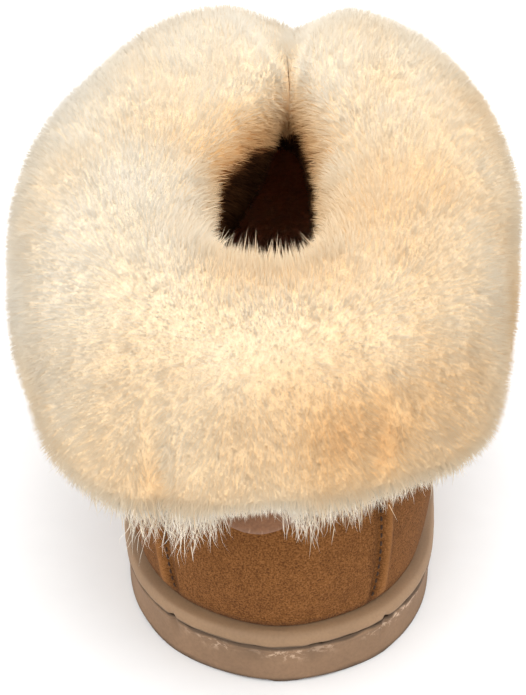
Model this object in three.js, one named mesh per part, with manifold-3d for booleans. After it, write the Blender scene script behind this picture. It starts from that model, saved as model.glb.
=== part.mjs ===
// A right-foot sheepskin mukluk boot of ankle height, with its wool cuff folded down.
// Millimetres. +Y runs from the heel to the toe, +X to the outer (lateral) side, +Z up.
// The origin is on the floor, under the middle of the heel.
import * as THREE from "three";
import { mergeVertices } from "three/addons/utils/BufferGeometryUtils.js";
import Module from "manifold-3d";

const wasm = await Module();
wasm.setup();

// Driving sizes of the shoe
const SOLE_LENGTH = 264;
const BALL_WIDTH = 97;
const HEEL_BACK = -39;
const GAP = 0.3; // between curved pieces that meet
const WOOL_GAP = 0.45; // between the wool and the wall inside it

// Sole stack at the heel
const OUTSOLE_HEIGHT = 10.7;
const MIDSOLE_HEIGHT = 3.9;
const SOLE_TAPER = 1.8; // how far the outsole's foot is inside its top edge
const FEATHER_INSET = 2.8; // how far the upper's foot is inside the midsole

// Lift of the sole's underside off the floor
const ARCH_LIFT = 1.6;
const TOE_SPRING = 9;
const HEEL_BEVEL = 0.8;
const ARCH_FROM = 28;
const ARCH_TO = 92;
const SPRING_FROM = 148;
const BEVEL_FROM = -22;

// Tread
const TREAD_RIM = 8;
const GROOVE_DEPTH = 2;
const GROOVE_WIDTH = 4;
const BAR_PITCH = 12;
const HEEL_GROOVES = { from: -18, count: 4 };
const FORE_GROOVES = { from: 102, count: 9 };

// Upper
const WALL = 2;
const COLLAR = { back: -37, front: 64, width: 68, shift: -3, bulge: 1 };
const THROAT = { width: 12, depth: 18 };
const SEAM_RISE = 1;
const SEAM_WIDTH = 3;
const WALL_ROWS = { outside: 10, inside: 6 };

// Insole
const INSOLE_HEIGHT = 7;
const INSOLE_INSET = 4.9;

// The outline at its stations, as shares of the length and of the ball width.
// turn is where the column of the upper that starts there meets the collar, in degrees from +X.
const STATIONS = [
  { along: 0.009, inner: 0.113, outer: 0.113, turn: -70 },
  { along: 0.042, inner: 0.252, outer: 0.255, turn: -47 },
  { along: 0.105, inner: 0.358, outer: 0.358, turn: -23 },
  { along: 0.195, inner: 0.392, outer: 0.394, turn: -3 },
  { along: 0.336, inner: 0.367, outer: 0.402, turn: 13 },
  { along: 0.485, inner: 0.405, outer: 0.448, turn: 27 },
  { along: 0.634, inner: 0.495, outer: 0.5, turn: 41 },
  { along: 0.765, inner: 0.505, outer: 0.47, turn: 55 },
  { along: 0.888, inner: 0.42, outer: 0.365, turn: 69 },
  { along: 0.965, inner: 0.29, outer: 0.215, turn: 80 },
];
const TOE_TIP_SHIFT = -0.045; // of the ball width, towards the big toe
const SEGMENTS = 2 * (STATIONS.length + 1);
const COLUMNS_PER_STATION = 3;

// Raised seams, by the station number on each side that they rise from
const SEAMS = [
  { outer: 1.97, inner: 2.27, stationLength: 15 },
  { outer: 5.35, inner: 5.35, stationLength: 40 },
];

// Rings of the upper from the sole line to the collar. pull is the share of the way from the
// sole outline to the collar outline, spread is how far the wall swells beyond that, and the
// rises are the heights above the sole line at the heel and at the toe.
const RINGS = [
  { pull: 0, heelRise: 0, toeRise: 0, spread: 0 },
  { pull: 0, heelRise: 7, toeRise: 7.5, spread: 1.8 },
  { pull: 0, heelRise: 15, toeRise: 15.5, spread: 3 },
  { pull: 0.03, heelRise: 24, toeRise: 22.5, spread: 3.4 },
  { pull: 0.1, heelRise: 33, toeRise: 29, spread: 2.8 },
  { pull: 0.22, heelRise: 41, toeRise: 35, spread: 2 },
  { pull: 0.37, heelRise: 48, toeRise: 41.5, spread: 1.2 },
  { pull: 0.53, heelRise: 54, toeRise: 50, spread: 0.6 },
  { pull: 0.69, heelRise: 60.5, toeRise: 60, spread: 0.3 },
  { pull: 0.82, heelRise: 67, toeRise: 70, spread: 0 },
  { pull: 0.92, heelRise: 73.5, toeRise: 79, spread: 0 },
  { pull: 1, heelRise: 80, toeRise: 88, spread: 0 },
];

// The mouth that the wool leaves for the foot: an oval, squared by bulges under 1, with a
// slanting cut across its front on the inner side.
const MOUTH = { back: -15, front: 42, width: 21, shift: -3, backBulge: 0.5, frontBulge: 0.75 };
const MOUTH_CUT = { x: -13, y: 20, slope: 0.69, softness: 1.2 };

// The cuff round the collar. turn is in degrees from the back, positive on the outer side, and
// the first and last rows are the two ends, which all but meet at the front. outer is the depth
// of wool outside the wall, and hem and top are heights.
const CUFF = [
  { turn: -185.6, outer: 28.2, hem: 87.4, top: 120 },
  { turn: -168, outer: 30.3, hem: 83, top: 122.5 },
  { turn: -135, outer: 27.2, hem: 66.4, top: 120.5 },
  { turn: -90, outer: 26, hem: 53.9, top: 115 },
  { turn: -45, outer: 26.2, hem: 49.8, top: 111 },
  { turn: 0, outer: 24.2, hem: 58.6, top: 109 },
  { turn: 45, outer: 25.2, hem: 54.8, top: 111 },
  { turn: 90, outer: 24.6, hem: 51.8, top: 115 },
  { turn: 135, outer: 31.3, hem: 67.2, top: 122 },
  { turn: 160, outer: 31.9, hem: 82.5, top: 124 },
  { turn: 173, outer: 28.3, hem: 87.4, top: 120 },
];
// Its section: out is the share of the outer depth, or where it is negative the share of the way
// from the wall to the mouth, and up is the share of the height from hem to top.
const CUFF_SECTION = [
  { out: -0.3, up: 0.08 },
  { out: -0.75, up: 0.28 },
  { out: -1, up: 0.6 },
  { out: -0.9, up: 0.85 },
  { out: -0.5, up: 0.97 },
  { out: 0, up: 1 },
  { out: 0.5, up: 0.95 },
  { out: 0.85, up: 0.77 },
  { out: 1, up: 0.52 },
  { out: 1, up: 0.28 },
  { out: 0.85, up: 0.08 },
  { out: 0.46, up: 0 },
  { out: 0.1, up: 0.05 },
];
const CUFF_RINGS = 34;
const CUFF_END_LENGTH = 8; // degrees of turn over which each end rounds off
const CUFF_END_SHRINK = 0.45;

// Locks of wool, in rows round the cuff. section is a fractional row of CUFF_SECTION, depth is
// how far the root is sunk, and sweep is how far a lock leans from the normal to the hem.
const LOCK_ROWS = [
  { section: 10.3, count: 23, length: 14, radius: 4.8, depth: 4, sweep: 0.9 },
  { section: 8.9, count: 17, length: 24, radius: 7.5, depth: 6.6, sweep: 0.97 },
];
// Outline of a lock from its root to its tip, as shares of its length and radius
const LOCK_PROFILE = [
  { along: 0, wide: 0 },
  { along: 0.06, wide: 0.7 },
  { along: 0.4, wide: 1 },
  { along: 0.8, wide: 0.5 },
  { along: 1, wide: 0 },
];
const LOCK_SIDES = 6;
const LOCK_END_LENGTH = 9; // degrees of turn without locks at each end

// Half-moon tab on the heel panel
const TAB = { shift: -6.6, width: 29, low: 44.6, high: 68, thickness: 1.5 };

const clamp01 = (v) => Math.min(1, Math.max(0, v));
const mix = (a, b, s) => a + (b - a) * s;
const smooth = (s) => s * s * (3 - 2 * s);

// A value read from a table's column at a fractional row, by Catmull-Rom.
function readTable(table, column, row) {
  const i = Math.min(table.length - 2, Math.max(0, Math.floor(row)));
  const at = (k) => table[Math.min(table.length - 1, Math.max(0, k))][column];
  const [a, b, c, d] = [at(i - 1), at(i), at(i + 1), at(i + 2)];
  const s = row - i;
  return (
    b +
    0.5 * s * (c - a + s * (2 * a - 5 * b + 4 * c - d + s * (3 * (b - c) + d - a)))
  );
}

// Lift of the sole's underside at y, from the heel bevel, the arch and the toe spring.
function liftAt(y) {
  const bevel = clamp01((BEVEL_FROM - y) / (BEVEL_FROM - HEEL_BACK));
  const arch = clamp01((y - ARCH_FROM) / (ARCH_TO - ARCH_FROM));
  const spring = clamp01((y - SPRING_FROM) / (HEEL_BACK + SOLE_LENGTH - SPRING_FROM));
  return (
    HEEL_BEVEL * bevel ** 2 +
    ARCH_LIFT * Math.sin(Math.PI * arch) ** 2 +
    TOE_SPRING * spring ** 2
  );
}
const springAt = (y) => liftAt(Math.max(y, ARCH_TO));
const outsoleTopAt = (y) => OUTSOLE_HEIGHT + springAt(y);
const midsoleTopAt = (y) => outsoleTopAt(y) + GAP + MIDSOLE_HEIGHT;
const soleLineAt = (y) => midsoleTopAt(y) + GAP;

// A point of an oval at a turn in degrees from +X.
function ovalPoint({ back, front, width, shift, bulge }, turn) {
  const a = THREE.MathUtils.degToRad(turn);
  const squared = (v) => Math.sign(v) * Math.abs(v) ** bulge;
  return new THREE.Vector3(
    shift + (width / 2) * squared(Math.cos(a)),
    (back + front) / 2 + ((front - back) / 2) * squared(Math.sin(a)),
    0,
  );
}
const collarPoint = (turn) => ovalPoint(COLLAR, turn);

function mouthPoint(turn) {
  const bulge = Math.sin(THREE.MathUtils.degToRad(turn)) < 0 ? MOUTH.backBulge : MOUTH.frontBulge;
  const p = ovalPoint({ ...MOUTH, bulge }, turn);
  const cut = MOUTH_CUT.x + MOUTH_CUT.slope * (p.y - MOUTH_CUT.y);
  const soft = MOUTH_CUT.softness;
  return p.setX(soft * Math.log(Math.exp(p.x / soft) + Math.exp(cut / soft)));
}

// The sole outline and the collar outline, as closed curves with the same parameter:
// 0 at the back of the heel, 0.5 at the toe, and rising along the outer side.
const stationPoint = (s, side) =>
  new THREE.Vector3(
    side > 0 ? s.outer * BALL_WIDTH : -s.inner * BALL_WIDTH,
    HEEL_BACK + s.along * SOLE_LENGTH,
    0,
  );
const inwards = [...STATIONS].reverse();
const soleCurve = new THREE.CatmullRomCurve3(
  [
    new THREE.Vector3(0, HEEL_BACK, 0),
    ...STATIONS.map((s) => stationPoint(s, 1)),
    new THREE.Vector3(TOE_TIP_SHIFT * BALL_WIDTH, HEEL_BACK + SOLE_LENGTH, 0),
    ...inwards.map((s) => stationPoint(s, -1)),
  ],
  true,
  "centripetal",
);
const collarCurve = new THREE.CatmullRomCurve3(
  [
    collarPoint(-90),
    ...STATIONS.map((s) => collarPoint(s.turn)),
    collarPoint(90),
    ...inwards.map((s) => collarPoint(180 - s.turn)),
  ],
  true,
  "centripetal",
);

// The columns from the heel to the toe on one side: even ones, and four at each raised seam.
function sideColumns(side) {
  const seamColumns = SEAMS.flatMap((seam) => {
    const half = SEAM_WIDTH / 2 / seam.stationLength;
    return [-half, -0.6 * half, 0.6 * half, half].map((d) => ({
      t: (seam[side] + d) / SEGMENTS,
      seam: Math.abs(d) < half ? 1 : 0,
    }));
  });
  const count = SEGMENTS * COLUMNS_PER_STATION;
  const even = Array.from({ length: count / 2 - 1 }, (_, i) => ({ t: (i + 1) / count, seam: 0 }));
  const clear = 0.42 / count;
  const kept = even.filter((e) => seamColumns.every((s) => Math.abs(s.t - e.t) > clear));
  return [...kept, ...seamColumns].sort((a, b) => a.t - b.t);
}
const COLUMNS = [
  { t: 0, seam: 0 },
  ...sideColumns("outer"),
  { t: 0.5, seam: 0 },
  ...sideColumns("inner")
    .reverse()
    .map(({ t, seam }) => ({ t: 1 - t, seam })),
];

// A point of the sole outline at t, moved inwards by inset.
function outlinePoint(t, inset) {
  const p = soleCurve.getPoint(t);
  const along = soleCurve.getTangent(t);
  return new THREE.Vector2(p.x - inset * along.y, p.y + inset * along.x);
}

// A geometry from rings of points that close on themselves, stacked from first to last. Its ends
// are "ladder": rungs between the two sides of a sole outline, "fan": one point in the middle,
// or "joined": the last ring runs on to the first, as round a wall.
function ringSolid(rings, ends) {
  const n = rings[0].length;
  const last = rings.length - 1;
  const points = rings.flat();
  const faces = [];
  const polygon = (corners) => {
    const unique = corners.filter((k, m) => corners.indexOf(k) === m);
    for (let k = 2; k < unique.length; k++)
      faces.push(unique[0], unique[k - 1], unique[k]);
  };
  for (let r = 0; r < (ends === "joined" ? last + 1 : last); r++) {
    const [low, high] = [r * n, ((r + 1) % rings.length) * n];
    for (let i = 0; i < n; i++) {
      const j = (i + 1) % n;
      polygon([low + i, low + j, high + j, high + i]);
    }
  }
  if (ends === "ladder")
    for (let i = 0; i < n / 2; i++) {
      const corners = [i, i + 1, n - i - 1, (n - i) % n];
      polygon([...corners].reverse());
      polygon(corners.map((k) => last * n + k));
    }
  if (ends === "fan")
    [0, last].forEach((r) => {
      const middle = new THREE.Vector3();
      rings[r].forEach((p) => middle.addScaledVector(p, 1 / n));
      points.push(middle);
      for (let i = 0; i < n; i++) {
        const edge = [r * n + i, r * n + ((i + 1) % n)];
        polygon([points.length - 1, ...(r === 0 ? edge.reverse() : edge)]);
      }
    });
  return indexed(
    points.flatMap((p) => [p.x, p.y, p.z]),
    faces,
  );
}

function indexed(positions, faces) {
  const geometry = new THREE.BufferGeometry();
  geometry.setAttribute("position", new THREE.Float32BufferAttribute(positions, 3));
  geometry.setIndex(faces);
  return geometry;
}

function toSolid(geometry) {
  const bare = geometry.clone();
  bare.deleteAttribute("normal");
  bare.deleteAttribute("uv");
  const merged = mergeVertices(bare, 1e-4);
  return new wasm.Manifold(
    new wasm.Mesh({
      numProp: 3,
      vertProperties: new Float32Array(merged.attributes.position.array),
      triVerts: new Uint32Array(merged.index.array),
    }),
  );
}

function toGeometry(solid) {
  const mesh = solid.getMesh();
  return indexed(Array.from(mesh.vertProperties), Array.from(mesh.triVerts));
}

// A plate on the sole outline. Each row of its side has an inset and a height function.
function solePlate(rows) {
  return ringSolid(
    rows.map(({ inset, height }) =>
      COLUMNS.map(({ t }) => {
        const p = outlinePoint(t, inset);
        return new THREE.Vector3(p.x, p.y, height(p.y));
      }),
    ),
    "ladder",
  );
}

function outsoleGeometry() {
  const side = [
    { share: 0, inset: SOLE_TAPER },
    { share: 0.18, inset: SOLE_TAPER - 1.1 },
    { share: 0.6, inset: 1 },
    { share: 0.9, inset: 0.25 },
    { share: 1, inset: 0.8 },
  ];
  const body = toSolid(
    solePlate(
      side.map(({ share, inset }) => ({
        inset,
        height: (y) => mix(liftAt(y), outsoleTopAt(y), share),
      })),
    ),
  );
  const pad = toSolid(
    solePlate([
      { inset: TREAD_RIM, height: () => -1 },
      { inset: TREAD_RIM, height: (y) => outsoleTopAt(y) - 1 },
    ]),
  );
  const grooves = [HEEL_GROOVES, FORE_GROOVES].flatMap(({ from, count }) =>
    Array.from({ length: count }, (_, i) => {
      const y = from + i * BAR_PITCH;
      const top = liftAt(y) + GROOVE_DEPTH;
      const box = new THREE.BoxGeometry(BALL_WIDTH * 1.2, GROOVE_WIDTH, top + 2);
      return toSolid(box.translate(0, y, (top - 2) / 2));
    }),
  );
  const cut = wasm.Manifold.union(grooves).intersect(pad);
  return toGeometry(body.subtract(cut));
}

function midsoleGeometry() {
  const side = [
    { share: 0, inset: 1.1 },
    { share: 0.2, inset: 0.1 },
    { share: 0.5, inset: -0.4 },
    { share: 0.82, inset: 0.1 },
    { share: 1, inset: 1.5 },
  ];
  return solePlate(
    side.map(({ share, inset }) => ({
      inset,
      height: (y) => mix(outsoleTopAt(y) + GAP, midsoleTopAt(y), share),
    })),
  );
}

function insoleGeometry() {
  const side = [
    { share: 0, inset: INSOLE_INSET + 1 },
    { share: 0.35, inset: INSOLE_INSET },
    { share: 0.75, inset: INSOLE_INSET + 0.6 },
    { share: 1, inset: INSOLE_INSET + 4 },
  ];
  return solePlate(
    side.map(({ share, inset }) => ({
      inset,
      height: (y) => soleLineAt(y) + share * INSOLE_HEIGHT,
    })),
  );
}

// A point of the upper's outer face: t round it, and row up it in RINGS.
function upperPoint(t, row) {
  const base = outlinePoint(t, FEATHER_INSET - readTable(RINGS, "spread", row));
  const collar = collarCurve.getPoint(t);
  const pull = readTable(RINGS, "pull", row);
  const toeward = clamp01(base.y / (HEEL_BACK + SOLE_LENGTH));
  const rise = mix(
    readTable(RINGS, "heelRise", row),
    readTable(RINGS, "toeRise", row),
    smooth(toeward),
  );
  const lift = soleLineAt(base.y) - soleLineAt(0);
  return new THREE.Vector3(
    mix(base.x, collar.x, pull),
    mix(base.y, collar.y, pull),
    soleLineAt(0) + lift * (1 - smooth(clamp01(pull * 1.3))) + rise,
  );
}

// The same face moved out along its normal.
function upperOffset(t, row, out) {
  const step = 1e-3;
  const top = RINGS.length - 1;
  const p = upperPoint(t, row);
  const round = upperPoint((t + step) % 1, row).sub(upperPoint((t + 1 - step) % 1, row));
  const up = upperPoint(t, Math.min(top, row + 0.05)).sub(
    upperPoint(t, Math.max(0, row - 0.05)),
  );
  const normal = round.cross(up).normalize();
  return p.addScaledVector(normal, out);
}

// The upper's wall between two offsets of its face, from row 0 to a height above the collar.
function upperWall(outer, inner, aboveCollar, seamRise) {
  const top = RINGS.length - 1;
  const ring = (row, out, seams, extra) =>
    COLUMNS.map(({ t, seam }) => {
      const p = upperOffset(t, row, out + seams * seam);
      if (row === 0) p.z = soleLineAt(p.y);
      p.z += extra;
      return p;
    });
  const rows = (count) => Array.from({ length: count + 1 }, (_, i) => (i * top) / count);
  const outside = rows(WALL_ROWS.outside).map((row) => ring(row, outer, seamRise, 0));
  const inside = rows(WALL_ROWS.inside).map((row) => ring(row, inner, 0, 0));
  if (aboveCollar > 0) {
    outside.push(ring(top, outer, seamRise, aboveCollar));
    inside.push(ring(top, inner, 0, aboveCollar));
  }
  return toSolid(ringSolid([...outside, ...inside.reverse()], "joined"));
}

// The V that opens the front of the shaft.
function throatCutter() {
  const topZ = soleLineAt(0) + RINGS[RINGS.length - 1].toeRise;
  const v = new THREE.Shape();
  v.moveTo(0, topZ - THROAT.depth);
  v.lineTo(THROAT.width * 0.75, topZ + THROAT.depth / 2);
  v.lineTo(-THROAT.width * 0.75, topZ + THROAT.depth / 2);
  v.closePath();
  const reach = 60;
  const prism = new THREE.ExtrudeGeometry(v, { depth: reach, bevelEnabled: false });
  prism.rotateX(Math.PI / 2);
  prism.translate(0, COLLAR.front + reach / 2, 0);
  return toSolid(prism);
}

// A value of the CUFF table at a turn.
function cuffValue(column, turn) {
  const found = CUFF.findIndex((row) => row.turn >= turn);
  const k = found < 0 ? CUFF.length - 1 : Math.max(1, found);
  const share = (turn - CUFF[k - 1].turn) / (CUFF[k].turn - CUFF[k - 1].turn);
  return readTable(CUFF, column, k - 1 + clamp01(share));
}

// A point of the cuff at a turn and at a fractional row of CUFF_SECTION.
function cuffPoint(turn, row) {
  const out = readTable(CUFF_SECTION, "out", row);
  const up = readTable(CUFF_SECTION, "up", row);
  const p = collarPoint(turn - 90);
  if (out < 0) p.lerp(mouthPoint(turn - 90), -out);
  else {
    const across = collarPoint(turn - 89).sub(collarPoint(turn - 91));
    const normal = new THREE.Vector3(across.y, -across.x, 0).normalize();
    p.addScaledVector(normal, out * cuffValue("outer", turn));
  }
  return p.setZ(mix(cuffValue("hem", turn), cuffValue("top", turn), up));
}

// The C of wool, whose two ends round off and all but meet at the front.
function cuffBody() {
  const [first, last] = [CUFF[0].turn, CUFF[CUFF.length - 1].turn];
  const rings = [];
  for (let i = 0; i <= CUFF_RINGS; i++) {
    const share = 0.5 - 0.5 * Math.cos((Math.PI * i) / CUFF_RINGS);
    const turn = mix(first, last, mix(i / CUFF_RINGS, share, 0.35));
    const inset = Math.min(turn - first, last - turn) / CUFF_END_LENGTH;
    const late = 1 - clamp01(inset);
    const ring = CUFF_SECTION.map((_, row) => cuffPoint(turn, row));
    const middle = new THREE.Vector3();
    ring.forEach((p) => middle.addScaledVector(p, 1 / ring.length));
    const shrink = CUFF_END_SHRINK * (1 - (1 - late ** 2.5) ** 0.4);
    rings.push(ring.map((p) => p.lerp(middle, shrink)));
  }
  return toSolid(ringSolid(rings, "fan"));
}

// One lock of wool with its root at the origin, lying along a direction.
function lock(length, radius, direction, root) {
  const profile = LOCK_PROFILE.map(
    ({ along, wide }) => new THREE.Vector2(wide * radius, along * length),
  );
  const geometry = new THREE.LatheGeometry(profile, LOCK_SIDES);
  const turn = new THREE.Quaternion().setFromUnitVectors(
    new THREE.Vector3(0, 1, 0),
    direction,
  );
  return toSolid(geometry.applyQuaternion(turn).translate(root.x, root.y, root.z));
}

// Rows of locks round the cuff, each leaning from the surface's normal to the hem.
function locks() {
  return LOCK_ROWS.flatMap(({ section, count, length, radius, depth, sweep }, r) =>
    Array.from({ length: count }, (_, i) => {
      const wander = Math.sin(12.9 * i + 4.1 * r);
      const share = (i + 0.5 + 0.3 * wander) / count;
      const turn = mix(
        CUFF[0].turn + LOCK_END_LENGTH,
        CUFF[CUFF.length - 1].turn - LOCK_END_LENGTH,
        share,
      );
      const p = cuffPoint(turn, section);
      const down = cuffPoint(turn, section + 0.5).sub(cuffPoint(turn, section - 0.5));
      const round = cuffPoint(turn + 1, section).sub(cuffPoint(turn - 1, section));
      const normal = down.clone().cross(round).normalize();
      const direction = normal
        .clone()
        .lerp(down.normalize(), sweep)
        .addScaledVector(round.normalize(), 0.25 * Math.sin(7.3 * i + r))
        .normalize();
      p.addScaledVector(normal, -depth);
      return lock(length * (1 + 0.2 * wander), radius, direction, p);
    }),
  );
}

// The half-moon outline seen from behind, grown by a margin, as a prism through the heel.
function tabPrism(margin) {
  const radius = TAB.width / 2;
  const moon = new THREE.Shape();
  moon.moveTo(radius + margin, TAB.high + margin);
  moon.lineTo(-radius - margin, TAB.high + margin);
  moon.lineTo(-radius - margin, TAB.low + radius);
  moon.absarc(0, TAB.low + radius, radius + margin, Math.PI, 2 * Math.PI, false);
  moon.closePath();
  const prism = new THREE.ExtrudeGeometry(moon, {
    depth: 40,
    bevelEnabled: false,
    curveSegments: 14,
  });
  return toSolid(prism.rotateX(Math.PI / 2).translate(TAB.shift, HEEL_BACK + 30, 0));
}

function heelTabGeometry() {
  const shell = upperWall(GAP + TAB.thickness, GAP, 0, 0);
  return toGeometry(shell.intersect(tabPrism(0)));
}

function upperGeometry() {
  const wall = upperWall(0, -WALL, 0, SEAM_RISE);
  return toGeometry(wall.subtract(throatCutter()));
}

function cuffGeometry() {
  const wool = wasm.Manifold.union([cuffBody(), ...locks()]);
  const wall = upperWall(WOOL_GAP, -WALL - WOOL_GAP, WOOL_GAP, SEAM_RISE);
  const tab = upperWall(2 * GAP + TAB.thickness, 0, 0, 0).intersect(tabPrism(GAP));
  const parts = wool.subtract(wall).subtract(tab).decompose();
  const largest = parts.reduce((a, b) => (b.volume() > a.volume() ? b : a));
  return toGeometry(largest);
}

const suede = new THREE.MeshStandardMaterial({ color: 0x9a6234, roughness: 0.95 });
const tabSuede = new THREE.MeshStandardMaterial({ color: 0xae7142, roughness: 0.9 });
const wrap = new THREE.MeshStandardMaterial({ color: 0x9d8268, roughness: 0.6 });
const rubber = new THREE.MeshStandardMaterial({ color: 0xa0856a, roughness: 0.75 });
const wool = new THREE.MeshStandardMaterial({ color: 0xf0dcbc, roughness: 1 });
const fleece = new THREE.MeshStandardMaterial({ color: 0x6b4a33, roughness: 1 });

const PIECES = [
  { name: "outsole", make: outsoleGeometry, material: rubber },
  { name: "midsole", make: midsoleGeometry, material: wrap },
  { name: "insole", make: insoleGeometry, material: fleece },
  { name: "upper", make: upperGeometry, material: suede },
  { name: "heel_tab", make: heelTabGeometry, material: tabSuede },
  { name: "cuff", make: cuffGeometry, material: wool },
];

const boot = new THREE.Group();
boot.name = "mukluk_boot";
for (const { name, make, material } of PIECES) {
  const mesh = new THREE.Mesh(make(), material);
  mesh.name = name;
  boot.add(mesh);
}

export default boot;
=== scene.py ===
"""A right-foot sheepskin mukluk boot with its wool cuff folded down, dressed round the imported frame."""

import math

import bmesh
import bpy
import numpy as np
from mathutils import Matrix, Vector, kdtree


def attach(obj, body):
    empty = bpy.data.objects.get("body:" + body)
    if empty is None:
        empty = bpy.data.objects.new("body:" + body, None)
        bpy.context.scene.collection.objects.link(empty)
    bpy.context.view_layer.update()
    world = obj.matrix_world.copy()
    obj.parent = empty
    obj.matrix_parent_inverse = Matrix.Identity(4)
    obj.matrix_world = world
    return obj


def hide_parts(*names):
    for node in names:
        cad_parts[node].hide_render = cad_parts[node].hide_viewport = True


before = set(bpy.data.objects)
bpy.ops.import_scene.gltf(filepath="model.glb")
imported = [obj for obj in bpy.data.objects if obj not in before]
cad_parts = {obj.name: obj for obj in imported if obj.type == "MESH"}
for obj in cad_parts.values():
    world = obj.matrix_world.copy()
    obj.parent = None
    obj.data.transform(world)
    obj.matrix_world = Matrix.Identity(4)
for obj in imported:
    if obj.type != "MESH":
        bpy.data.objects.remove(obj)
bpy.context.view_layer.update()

bl_info = {
    "name": "Sheepskin mukluk boot",
    "version": (1, 0, 0),
    "blender": (4, 5, 0),
    "location": "View3D > Sidebar > Boot",
    "description": "Builds the suede, wool, rubber and stage of a sheepskin mukluk boot",
    "category": "Object",
}

MM = 0.001


def table(columns, *rows):
    """The rows of a table, each with its columns' names."""
    return [dict(zip(columns, row)) for row in rows]


# Driving sizes of the shoe, in millimetres, as in the solids
SOLE_LENGTH = 264.0
BALL_WIDTH = 97.0
HEEL_BACK = -39.0
GAP = 0.3
OUTSOLE_HEIGHT = 10.7
MIDSOLE_HEIGHT = 3.9
FEATHER_INSET = 2.8
TOE_SPRING = 9.0
SPRING_FROM = 148.0
SEAM_RISE = 1.0
TOE_TIP_SHIFT = -0.045

# The sole outline at its stations, and where each column of the upper meets the collar
STATIONS = {
    "along": (0.009, 0.042, 0.105, 0.195, 0.336, 0.485, 0.634, 0.765, 0.888, 0.965),
    "inner": (0.113, 0.252, 0.358, 0.392, 0.367, 0.405, 0.495, 0.505, 0.42, 0.29),
    "outer": (0.113, 0.255, 0.358, 0.394, 0.402, 0.448, 0.5, 0.47, 0.365, 0.215),
    "turn": (-70, -47, -23, -3, 13, 27, 41, 55, 69, 80),
}
SEGMENTS = 2 * (len(STATIONS["along"]) + 1)

# Rings of the upper from the sole line to the collar
RINGS = {
    "pull": (0, 0, 0, 0.03, 0.1, 0.22, 0.37, 0.53, 0.69, 0.82, 0.92, 1),
    "heel_rise": (0, 7, 15, 24, 33, 41, 48, 54, 60.5, 67, 73.5, 80),
    "toe_rise": (0, 7.5, 15.5, 22.5, 29, 35, 41.5, 50, 60, 70, 79, 88),
    "spread": (0, 1.8, 3, 3.4, 2.8, 2, 1.2, 0.6, 0.3, 0, 0, 0),
}
TOP_ROW = len(RINGS["pull"]) - 1

# The collar's oval, and the mouth that the wool leaves: squared at its back, cut slanting in front
COLLAR = {"back": -37, "front": 64, "width": 68, "shift": -3, "bulge": 1}
MOUTH = {"back": -15, "front": 42, "width": 21, "shift": -3, "back_bulge": 0.5, "front_bulge": 0.75}
MOUTH_CUT = {"x": -13, "y": 20, "slope": 0.69, "softness": 1.2}

# The cuff round the collar: turn in degrees from the back, depth outside the wall, heights
CUFF = {
    "turn": (-185.6, -168, -135, -90, -45, 0, 45, 90, 135, 160, 173),
    "outer": (28.2, 30.3, 27.2, 26, 26.2, 24.2, 25.2, 24.6, 31.3, 31.9, 28.3),
    "hem": (87.4, 83, 66.4, 53.9, 49.8, 58.6, 54.8, 51.8, 67.2, 82.5, 87.4),
    "top": (120, 122.5, 120.5, 115, 111, 109, 111, 115, 122, 124, 120),
}
CUFF_SECTION = {
    "out": (-0.3, -0.75, -1, -0.9, -0.5, 0, 0.5, 0.85, 1, 1, 0.85, 0.46, 0.1),
    "up": (0.08, 0.28, 0.6, 0.85, 0.97, 1, 0.95, 0.77, 0.52, 0.28, 0.08, 0, 0.05),
}
SECTION_END = len(CUFF_SECTION["out"]) - 1
CUFF_END_LENGTH = 8.0
CUFF_END_SHRINK = 0.45

# The turns at which the wool's two ends meet, and how little its inner side rounds off there
WOOL_ENDS = (-187.9, 175.1)
INNER_SHRINK = 0.02

# The fleece's body: its grid, how far its ends stay inside the wool's, and its gap to the wall
FLEECE_GRID = (170, 80)
FLEECE_END_INSET = 1.8
WOOL_GAP = 0.5

# Rows of the section that the wool's hairs grow on
PILE_ROWS = (0.1, 11.7)
HEM_ROWS = (10.0, 12.0)
WISP_ROWS = (10.4, 11.6)

# Small tufts of the hem's hairs: how many, the turn between them, and how far a hair curls
TUFTS = 150
TUFT_SPACING = (1.2, 5)
CURL = 0.045

# Soft spots of the wool, by middle turn and row, reach each way, and height. First its partings
PARTINGS = table(
    ("turn", "row", "turns", "rows", "height"),
    (-22, 9.2, 2.2, 1.3, -2.0),
    (22, 8.7, 2.2, 1.2, -1.8),
    (2, 9.9, 3.0, 0.8, -0.5),
    (-68, 9.2, 4.0, 1.0, -0.7),
    (70, 8.8, 4.0, 1.2, -0.8),
    (118, 8.6, 4.0, 1.1, -0.8),
    (-120, 8.9, 4.0, 1.1, -0.8),
)

# Broad swells and hollows of the wool
SWELLS = table(
    ("turn", "row", "turns", "rows", "height"),
    (54, 10.0, 17, 1.4, 2.2),
    (84, 8.9, 26, 0.9, -1.3),
    (94, 7.0, 26, 1.1, 2.0),
    (-185, 5.6, 9, 1.8, -3.4),
    (172, 5.6, 9, 1.8, -3.4),
    (-92, 7.0, 30, 1.1, 2.2),
    (-44, 10.2, 14, 1.2, 1.6),
    (128, 6.2, 16, 1.5, 1.2),
)

# Patches of the wool, by the height of their tone
TONE_PATCHES = table(
    ("turn", "row", "turns", "rows", "height"),
    (11, 8.6, 14, 1.6, -0.12),
    (0, 6.5, 45, 1.8, -0.05),
    (60, 9.4, 34, 1.3, -0.09),
    (-55, 10, 30, 1.2, -0.05),
)

# Length of the hem's short hairs round the cuff, and the share of it that the pile there hangs
HEM = {
    "turn": (-188, -120, -60, -40, -28, -14, -10, 3, 7, 20, 40, 60, 120, 176),
    "length": (2, 2, 1.5, 2, 4, 4, 0.8, 0.8, 3.5, 3.5, 2, 1.6, 2, 2),
}
PILE_HANG = 0.45

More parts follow.
